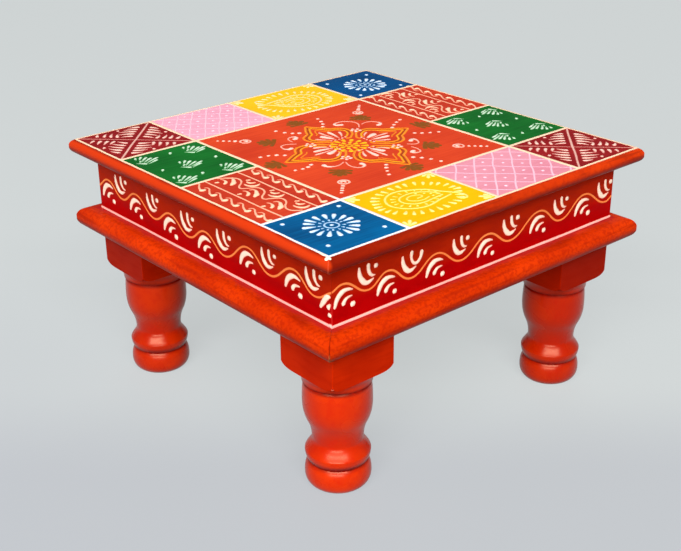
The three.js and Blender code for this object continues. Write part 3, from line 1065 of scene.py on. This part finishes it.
def tile_index(x, y):
    """Which paint a spot of the board's top takes, 1 to 10, or 0 outside the pattern."""
    if max(abs(x), abs(y)) > FIELD_HALF:
        return 0
    left, right = x < LINE_LEFT, x > LINE_RIGHT
    front, back = y < LINE_FRONT, y > LINE_BACK
    if front:
        return 1 if left else 4 if right else 2 if x < SPLIT_FRONT else 3
    if back:
        return 4 if left else 8 if right else 10 if x < SPLIT_BACK else 9
    if left:
        return 6 if y < SPLIT_LEFT else 5
    if right:
        return 5 if y < SPLIT_RIGHT else 6
    return 7


def board_mesh():
    """The board's own shape: a square with all its edges rounded over."""
    low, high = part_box("top_board")
    return bullnosed_slab(low, (high.x, high.y, high.z - PAINT_ROOM), BOARD_ROUND, BOARD_CORNER)


def make_board():
    bm = board_mesh()
    for x in (LINE_LEFT, SPLIT_BACK, SPLIT_FRONT, LINE_RIGHT):
        score(bm, ALONG_X, x * MM, 1)
    for y in (LINE_FRONT, SPLIT_RIGHT, SPLIT_LEFT, LINE_BACK):
        score(bm, ALONG_Y, y * MM, 1)
    for reach in (-BOARD_BARE_HALF, BOARD_BARE_HALF):
        score(bm, ALONG_X, reach, -1)
        score(bm, ALONG_Y, reach, -1)
    bm.normal_update()
    paints = [board_enamel(), *(tile_paint(*row) for row in TILE_PAINTS), bare_wood("board_underside")]
    for face in bm.faces:
        centre = face.calc_center_median()
        if face.normal.z > 0.99:
            face.material_index = tile_index(centre.x / MM, centre.y / MM)
        elif face.normal.z < -0.99 and max(abs(centre.x), abs(centre.y)) < BOARD_BARE_HALF:
            face.material_index = len(paints) - 1
    hand_over(finish_mesh("board_painted", bm, paints), "painted_top", "top_board")


def make_border(paint):
    """The thick cream line that lies on the shoulder of the board."""
    bm = board_mesh()
    top = max(vert.co.z for vert in bm.verts)
    plane = {"plane_co": (0, 0, top - BORDER_DROP * MM), "plane_no": (0, 0, 1), "clear_inner": True}
    bmesh.ops.bisect_plane(bm, geom=everything(bm), **plane)
    for reach in (-BORDER_INNER, BORDER_INNER_BACK):
        score(bm, ALONG_X, reach * MM, 1)
        score(bm, ALONG_Y, reach * MM, 1)
    inside = []
    for face in bm.faces:
        centre = face.calc_center_median() / MM
        if min(centre.x, centre.y) > -BORDER_INNER and max(centre.x, centre.y) < BORDER_INNER_BACK:
            inside.append(face)
    bmesh.ops.delete(bm, geom=inside, context="FACES")
    long_edges = [edge for edge in bm.edges if edge.calc_length() > 0.05]
    bmesh.ops.subdivide_edges(bm, edges=long_edges, cuts=BORDER_CUTS, use_grid_fill=True)
    for vert in bm.verts:
        stretch = 1 + noise.noise(vert.co * BORDER_RIPPLES) * BORDER_SWAY
        if vert.is_boundary:
            vert.co.x *= stretch
            vert.co.y *= stretch
    bmesh.ops.solidify(bm, geom=bm.faces[:], thickness=-BORDER_THICKNESS * MM)
    bmesh.ops.recalc_face_normals(bm, faces=bm.faces)
    for vert in bm.verts:
        vert.co.z = min(vert.co.z, top + BORDER_CREST * MM)
    full_load(bm)
    hand_over(finish_mesh("border_line", bm, [paint], 50.0), "painted_top")


def mark_board(name, marks, paint, flatness=0.3):
    """Lays marks on the board's top."""
    on_board = Matrix.Translation((0, 0, cad_high.z - PAINT_ROOM))
    paint_marks(name, marks, paint, "painted_top", on_board, flatness)


def make_tile_lines(paint):
    """The cream lines between the tiles: four across the whole board and four short ones."""
    edge = BORDER_INNER
    long_lines = [((x, -edge), (x, edge)) for x in (LINE_LEFT, LINE_RIGHT)]
    long_lines += [((-edge, y), (edge, y)) for y in (LINE_FRONT, LINE_BACK)]
    short_lines = (
        ((SPLIT_FRONT, -edge), (SPLIT_FRONT, LINE_FRONT)), ((SPLIT_BACK, LINE_BACK), (SPLIT_BACK, edge)),
        ((-edge, SPLIT_LEFT), (LINE_LEFT, SPLIT_LEFT)), ((LINE_RIGHT, SPLIT_RIGHT), (edge, SPLIT_RIGHT)),
    )
    marks = [thread(steps(*ends, 22), 2.8, 0.22) for ends in long_lines]
    marks += [thread(steps(*ends, 20), 2.6, 0.2) for ends in short_lines]
    mark_board("tile_lines", marks, paint)


def make_nose_blobs(paint):
    """Paint of the border that gathered at the front corner of the board."""
    _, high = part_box("top_board")
    bm = bmesh.new()
    shoulder = high.z - PAINT_ROOM - BOARD_ROUND
    for turns, away, slope, width, length in NOSE_BLOBS:
        reach = high.x - BOARD_ROUND + math.sin(slope) * BOARD_ROUND
        along = (reach - away) * (-1 if turns == 0 else 1)
        place = Matrix.Rotation(turns * QUARTER, 4, "Z")
        place = place @ Matrix.Translation((along, -reach, shoulder + math.cos(slope) * BOARD_ROUND))
        size = Matrix.Diagonal((width / 2, length / 2, BLOB_HEIGHT, 1))
        place = place @ Matrix.Rotation(slope, 4, "X") @ size
        bmesh.ops.create_uvsphere(bm, u_segments=20, v_segments=10, radius=1, matrix=place)
    full_load(bm)
    hand_over(finish_mesh("nose_blobs", bm, [paint], 60.0), "painted_top")


def make_tile_marks():
    """The marks of the ring of tiles, each motif once at the front or left and once turned half round."""
    white = cone_paint("white_on_blue", (236, 246, 255), (120, 176, 220))
    butter = cone_paint("cream_on_yellow", (255, 242, 158), (254, 224, 84))
    lemon = cone_paint("lemon_on_yellow", (252, 228, 172), (250, 216, 118))
    rose = cone_paint("white_on_pink", (255, 226, 232), (248, 182, 204))
    shell = cone_paint("cream_on_maroon", (250, 214, 196), (206, 110, 100))
    mint = cone_paint("white_on_green", (232, 248, 226), (110, 176, 118))
    peach = cone_paint("cream_on_brick", (255, 222, 184), (250, 150, 118))
    left, right = (-FIELD_HALF, LINE_LEFT), (LINE_RIGHT, FIELD_HALF)
    front, back = (-FIELD_HALF, LINE_FRONT), (LINE_BACK, FIELD_HALF)
    turn_back = math.pi
    small_lattice = (math.radians(9), 0.84)
    for name, paint, motif, *tiles in (
        ("daisy_marks", white, lambda x, y: daisy(), (left, front, 0), (right, back, turn_back)),
        ("kairi_marks", butter, kairi, ((LINE_LEFT, SPLIT_FRONT), front, 0)),
        ("kairi_marks_back", lemon, kairi, ((SPLIT_BACK, LINE_RIGHT), back, turn_back)),
        ("lattice_marks", rose, lattice, ((SPLIT_FRONT, LINE_RIGHT), front, 0, 0.0, 1.0),
         ((LINE_LEFT, SPLIT_BACK), back, turn_back, *small_lattice)),
        ("fan_marks", shell, lambda x, y: crossed_fans(x), (right, front, 0), (left, back, turn_back)),
        ("sprig_marks", mint, lambda x, y: sprigs(), (left, (SPLIT_LEFT, LINE_BACK), 0),
         (right, (LINE_FRONT, SPLIT_RIGHT), turn_back)),
        ("wave_marks", peach, lambda x, y: zigzag_bands(y), (left, (LINE_FRONT, SPLIT_LEFT), 0),
         (right, (SPLIT_RIGHT, LINE_BACK), turn_back)),
    ):
        marks = []
        for (x0, x1), (y0, y1), turn, *own in tiles:
            drawn = motif((x1 - x0) / 2 - LINE_HALF, (y1 - y0) / 2 - LINE_HALF, *own)
            marks += moved(drawn, (x0 + x1) / 2, (y0 + y1) / 2, turn)
        mark_board(name, marks, paint)


def make_centre_marks():
    """The middle field: four lotus buds round a sun, scrolls, dotted chains, ringed circles and leaves."""
    orange = cone_paint("orange_on_red", (252, 160, 40), (240, 118, 26))
    gold = cone_paint("gold_on_red", (252, 186, 30), (240, 140, 26))
    pale = cone_paint("pale_on_red", (254, 218, 202), (246, 140, 112))
    olive = cone_paint("olive_on_red", (104, 84, 14), (142, 78, 16))
    brown = cone_paint("brown_on_red", (158, 66, 2), (172, 68, 6))
    outer_lines = []
    inner_lines = sun(-5.0, -3.0)
    gaps = []
    petals = []
    strokes = []
    leaves = []
    for quarter, reach in enumerate(LOTUS_REACHES):
        outer, inner, between, tip = lotus_lines(reach)
        for layer, marks in (
            (outer_lines, outer + tip), (inner_lines, inner), (gaps, between), (petals, lotus_petals()),
        ):
            layer += moved(marks, -0.7, -1.3, quarter * QUARTER)
    for chain in CHAINS:
        strokes += dot_chain(*chain)
    for place, first, second in SCROLLS:
        strokes += flower(*place) + [curl(first), curl(second)]
    for degrees, x, y in RINGED:
        strokes += ringed_circle(x, y, math.radians(degrees))
    for degrees, x, y in LEAF_CLUSTERS:
        leaves += leaf_cluster(x, y, math.radians(degrees))
    mark_board("lotus_gaps", gaps, brown, 0.08)
    mark_board("lotus_outer_lines", outer_lines, orange)
    mark_board("sun_and_lotus_lines", inner_lines, gold)
    mark_board("lotus_petals", petals, pale)
    mark_board("centre_marks", strokes, pale)
    mark_board("centre_leaves", leaves, olive, 0.05)


def make_aprons(enamel, wood):
    """Four mitred boards, bare inside."""
    low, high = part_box("apron_front")
    for turns, side in enumerate(SIDES):
        bm = bmesh.new()
        add_block(bm, (low.y, low.y, low.z), (-low.y, low.y + APRON_THICKNESS, high.z))
        for way in (-1, 1):
            slice_off(bm, (way * -APRON_JOINT, 0, 0), (way, 1, 0))
        round_over(bm, edges_along(bm, 0, 0.99), APRON_EASE, 2)
        bm.normal_update()
        for face in bm.faces:
            face.material_index = int(face.normal.y > 0.9)
        piece = finish_mesh(f"apron_board_{side}", bm, [enamel, wood])
        piece.data.transform(Matrix.Rotation(turns * QUARTER, 4, "Z"))
        hand_over(piece, "painted_apron", f"apron_{side}")


def make_apron_marks():
    """The vine with its leaves and the line along the foot of the apron, on all four sides."""
    vine_paint = cone_paint("gold_on_crimson", (246, 152, 82), (232, 108, 50))
    leaf_paint = cone_paint("cream_on_crimson", (252, 228, 204), (244, 172, 150))
    line_paint = cone_paint("rose_on_crimson", (248, 200, 188), (232, 136, 122))
    low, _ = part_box("apron_front")
    edge = -low.y / MM
    upright = Matrix.Translation((0, low.y, 0)) @ Matrix.Rotation(QUARTER, 4, "X")
    for number, side in enumerate(SIDES):
        place = Matrix.Rotation(number * QUARTER, 4, "Z") @ upright
        turns = (VINE_FRONT, VINE_LEFT)[number % 2]
        if number in (1, 2):
            turns = [(x + hand.uniform(-2, 2), y + hand.uniform(-0.6, 0.6)) for x, y in turns]
            turns[0] = (-edge + 0.3, turns[0][1])
            turns[-1] = (edge - 0.3, turns[-1][1])
        paint_marks(f"vine_{side}", [thread(turns, 1.55)], vine_paint, "painted_apron", place)
        leaves = vine_leaves(turns, edge, 3 if number % 2 == 0 else None)
        paint_marks(f"vine_leaves_{side}", leaves, leaf_paint, "painted_apron", place)
        foot = [thread(steps((-edge - 0.2, FOOT_LINE), (edge + 0.2, FOOT_LINE), 24), 2.2, 0.12)]
        if side == "left":
            foot.append(dot(edge - 1.2, FOOT_LINE + 0.4, 3.2))
        paint_marks(f"foot_line_{side}", foot, line_paint, "painted_apron", place)


def open_joint(bm, low, high):
    """Lets the front left mitre gape towards its lower edge, as glue that has failed at the nose."""
    for vert in bm.verts:
        if vert.co.x < -GAPE_START and abs(abs(vert.co.x) - abs(vert.co.y)) < GAPE_BESIDE:
            share = limited((high - vert.co.z) / (high - low))
            vert.co.x += GAPE_WIDTH * share * limited((-vert.co.x - GAPE_START) / GAPE_LENGTH)


def make_rails(enamel):
    """Four mitred rails with a rounded outer edge, bored for the legs."""
    low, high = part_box("rail_front")
    half = -low.y
    for turns, side in enumerate(SIDES):
        bm = bullnosed_slab((-half, -half, low.z), (half, half, high.z), RAIL_ROUND, RAIL_CORNER)
        for way in (-1, 1):
            slice_off(bm, (way * -RAIL_JOINT, 0, 0), (way, 1, 0))
        slice_off(bm, (0, RAIL_WIDTH - half, 0), (0, 1, 0))
        if side == "front":
            open_joint(bm, low.z, high.z - GAPE_BELOW_TOP)
        bmesh.ops.recalc_face_normals(bm, faces=bm.faces)
        piece = finish_mesh(f"rail_mitred_{side}", bm, [enamel])
        for way in (-1, 1):
            bore = bmesh.new()
            place = Matrix.Translation((way * LEG_PLACE, -LEG_PLACE, low.z))
            radius = TENON_RADIUS + TENON_FIT
            size = {"radius1": radius, "radius2": radius, "depth": BORE_DEPTH}
            bmesh.ops.create_cone(bore, cap_ends=True, segments=32, matrix=place, **size)
            combine(piece, finish_mesh("bore", bore), "DIFFERENCE")
        piece.data.transform(Matrix.Rotation(turns * QUARTER, 4, "Z"))
        shade(piece.data, 35.0)
        hand_over(piece, "painted_rail", f"rail_{side}")


def quadratic(line, control, end, count=10):
    """Carries a profile on along a curve that leans towards a control point."""
    start = line[-1]
    line += [bent(start, control, end, step / count) for step in range(1, count + 1)]


def swing(line, from_radius, from_height, to_radius, to_height, end_height):
    """An S from one upright radius to another."""
    middle = ((from_radius + to_radius) / 2, (from_height + to_height) / 2)
    quadratic(line, (from_radius, from_height), middle)
    quadratic(line, (to_radius, to_height), (to_radius, end_height))


def leg_profile():
    """Foot, bead, neck, vase and collar from the floor up, then the tenon."""
    def at(share):
        return share * TURNING_HEIGHT

    line = [(0, 0), (0.0186, 0)]
    quadratic(line, (0.0230, at(0.03)), (0.0230, at(0.1)))
    quadratic(line, (0.0230, at(0.172)), (0.0203, at(0.207)))
    quadratic(line, (0.0227, at(0.25)), (0.0227, at(0.296)))
    swing(line, 0.0227, at(0.304), 0.0177, at(0.382), at(0.402))
    swing(line, 0.0177, at(0.493), 0.0239, at(0.636), at(0.730))
    quadratic(line, (0.0239, at(0.827)), (0.0231, at(0.889)))
    line += [(0.0222, at(0.901)), (0.0222, at(0.908)), (0.0240, at(0.917))]
    quadratic(line, (0.0240, at(0.955)), (0.02597, TURNING_HEIGHT))
    line += [
        (TENON_RADIUS, TURNING_HEIGHT + BLOCK_HEIGHT / 2), (TENON_RADIUS, TENON_TOP - TENON_EASE),
        (TENON_RADIUS - TENON_EASE, TENON_TOP), (0, TENON_TOP),
    ]
    return line


def block_piece():
    """The square block, with its lower corners clipped by the lathe."""
    bm = bmesh.new()
    half = BLOCK_SIDE / 2
    add_block(bm, (-half, -half, TURNING_HEIGHT), (half, half, TURNING_HEIGHT + BLOCK_HEIGHT))
    round_over(bm, edges_along(bm, 2, 0.9), BLOCK_EASE, 3)
    block = finish_mesh("block", bm)
    corner = half * math.sqrt(2) * 1.02
    clip = [(0, 0), (corner - BLOCK_CLIP, 0)]
    quadratic(clip, (corner, 0), (corner, BLOCK_CLIP), 8)
    clip += [(corner, CLIP_HEIGHT), (0, CLIP_HEIGHT)]
    lathe = turned(clip, 96)
    bmesh.ops.translate(lathe, vec=(0, 0, TURNING_HEIGHT), verts=lathe.verts)
    combine(block, finish_mesh("clip", lathe), "INTERSECT")
    return block


def make_legs(finishes):
    leg = finish_mesh("leg", turned(leg_profile(), 64))
    combine(leg, block_piece(), "UNION")
    for turns, (corner, x, y) in enumerate(CORNERS):
        mesh = leg.data.copy()
        place = Matrix.Translation((x * LEG_PLACE, y * LEG_PLACE, 0))
        mesh.transform(place @ Matrix.Rotation(turns * QUARTER, 4, "Z"))
        mesh.materials.clear()
        for finish in finishes:
            mesh.materials.append(finish)
        for face in mesh.polygons:
            face.material_index = int(face.center.z > TURNING_HEIGHT)
        shade(mesh, 32.0)
        hand_over(linked(f"leg_turned_{corner}", mesh), "painted_leg", f"leg_{corner}")
    bpy.data.objects.remove(leg)


def make_screws():
    """Countersunk screws that hold the rails to the apron, seen from below."""
    low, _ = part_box("rail_front")
    head = bmesh.new()
    size = {"radius1": SCREW_RADIUS, "radius2": SCREW_POINT, "depth": SCREW_DEPTH}
    bmesh.ops.create_cone(head, cap_ends=True, segments=24, **size)
    steel = screw_steel()
    head_piece = finish_mesh("screw_head", head, [steel])
    for turn in (0, QUARTER):
        slot = bmesh.new()
        add_block(slot, *SCREW_SLOT)
        bmesh.ops.rotate(slot, cent=(0, 0, 0), matrix=Matrix.Rotation(turn, 3, "Z"), verts=slot.verts)
        combine(head_piece, finish_mesh("slot", slot), "DIFFERENCE")
    screws = bmesh.new()
    for turns in range(4):
        for x in SCREW_PLACES:
            place = Matrix.Translation((x, SCREW_INSET, low.z + SCREW_SUNK))
            one = head_piece.data.copy()
            one.transform(Matrix.Rotation(turns * QUARTER, 4, "Z") @ place)
            screws.from_mesh(one)
            bpy.data.meshes.remove(one)
    bpy.data.objects.remove(head_piece)
    hand_over(finish_mesh("rail_screws", screws, [steel]), None)


def dress_corner_blocks():
    """The corner blocks keep their own shape and get bare wood."""
    wood = bare_wood("corner_block_wood", 0.7)
    for corner, _, _ in CORNERS:
        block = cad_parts[f"corner_block_{corner}"]
        for slot in block.material_slots:
            slot.material = wood


# Stage

def make_floor():
    """A wide pale floor that fills the view and keeps the table's shadow."""
    finish = Finish("studio_floor")
    nodes = finish.tree.nodes
    nodes.remove(finish.shader)
    cos, sin = aimed(CAMERA_AZIMUTH, 1.0)
    away = finish.measure("DOT_PRODUCT", (-sin, cos, 0))
    aside = finish.measure("DOT_PRODUCT", (cos, sin, 0))
    finish.ground(finish.ease(away, -0.16, -0.02), (195, 199, 203), (209, 214, 214))
    near = finish.ease(away, -0.1, 0.3, 1, 0)
    finish.coat(finish.times(finish.ease(aside, -0.5, 0.05, 0.5, 0), near), (192, 196, 203))
    path = finish.node("ShaderNodeLightPath", {}).outputs
    shown = finish.sums("MAXIMUM", path["Is Camera Ray"], path["Is Glossy Ray"])
    shown = finish.sums("MAXIMUM", shown, path["Is Transmission Ray"])
    plain = finish.mixed(shown, (70, 50, 44), finish.tint)
    diffuse = finish.node("ShaderNodeBsdfDiffuse", {"Color": plain})
    glow = finish.node("ShaderNodeEmission", {"Color": finish.tint, "Strength": 0.99})
    ends = {"Fac": finish.times(shown, 0.8), 1: diffuse.outputs["BSDF"], 2: glow.outputs["Emission"]}
    mix = finish.node("ShaderNodeMixShader", ends)
    finish.tree.links.new(mix.outputs["Shader"], nodes["Material Output"].inputs["Surface"])
    bm = bmesh.new()
    bmesh.ops.create_grid(bm, x_segments=1, y_segments=1, size=FLOOR_HALF)
    floor = finish_mesh("floor", bm, [finish.material])


def aimed_down(azimuth, elevation, height):
    """A frame on the table's axis, at a height, whose Z axis points to a lamp or the camera."""
    turn = Matrix.Rotation(azimuth, 4, "Z") @ Matrix.Rotation(QUARTER - elevation, 4, "X")
    return Matrix.Translation((0, 0, height)) @ turn


def make_light():
    """An even pale room, a wide lamp above the camera, a lower one under it and a weak one at the back."""
    world = bpy.data.worlds.new("room")
    world.use_nodes = True
    room = world.node_tree.nodes["Background"]
    room.inputs["Color"].default_value = chart(238, 240, 244)
    room.inputs["Strength"].default_value = 0.27
    bpy.context.scene.world = world
    for name, degrees, height, reach, width, depth, power in (
        ("key_lamp", -44.0, 41.0, 6.0, 7.0, 0.6, 440.0),
        ("fill_lamp", -46.0, 17.0, 3.0, 2.4, 0.35, 62.0),
        ("back_lamp", 136.0, 14.0, 5.0, 4.0, 1.2, 90.0),
    ):
        lamp = bpy.data.lights.new(name, "AREA")
        lamp.shape = "RECTANGLE"
        lamp.size = width
        lamp.size_y = depth
        lamp.energy = power
        holder = linked(name, lamp)
        view = (math.radians(degrees), math.radians(height))
        holder.matrix_world = aimed_down(*view, cad_high.z / 2) @ Matrix.Translation((0, 0, reach))
        holder.visible_glossy = name != "back_lamp"


def make_camera():
    """Looks down at the front left corner of the table."""
    camera = bpy.data.cameras.new("camera")
    camera.lens = CAMERA_LENS
    camera.sensor_width = CAMERA_SENSOR
    camera.clip_start = 0.01
    holder = linked("camera", camera)
    turn = aimed_down(CAMERA_AZIMUTH, CAMERA_ELEVATION, cad_high.z)
    away = Matrix.Translation((CAMERA_ASIDE, CAMERA_RAISE, CAMERA_DISTANCE))
    holder.matrix_world = turn @ away @ Matrix.Rotation(CAMERA_ROLL, 4, "Z")
    bpy.context.scene.camera = holder


bpy.context.scene.view_settings.view_transform = "Standard"
make_camera()
make_light()
make_floor()

cream = border_paint()
make_board()
make_border(cream)
make_nose_blobs(cone_paint("nose_cream", (244, 228, 204), (236, 190, 156)))
make_tile_lines(cream)
make_tile_marks()
make_centre_marks()
make_aprons(apron_enamel(), bare_wood("apron_inside"))
make_apron_marks()
make_rails(rail_enamel())
make_legs((leg_enamel(), block_enamel()))
make_screws()
dress_corner_blocks()
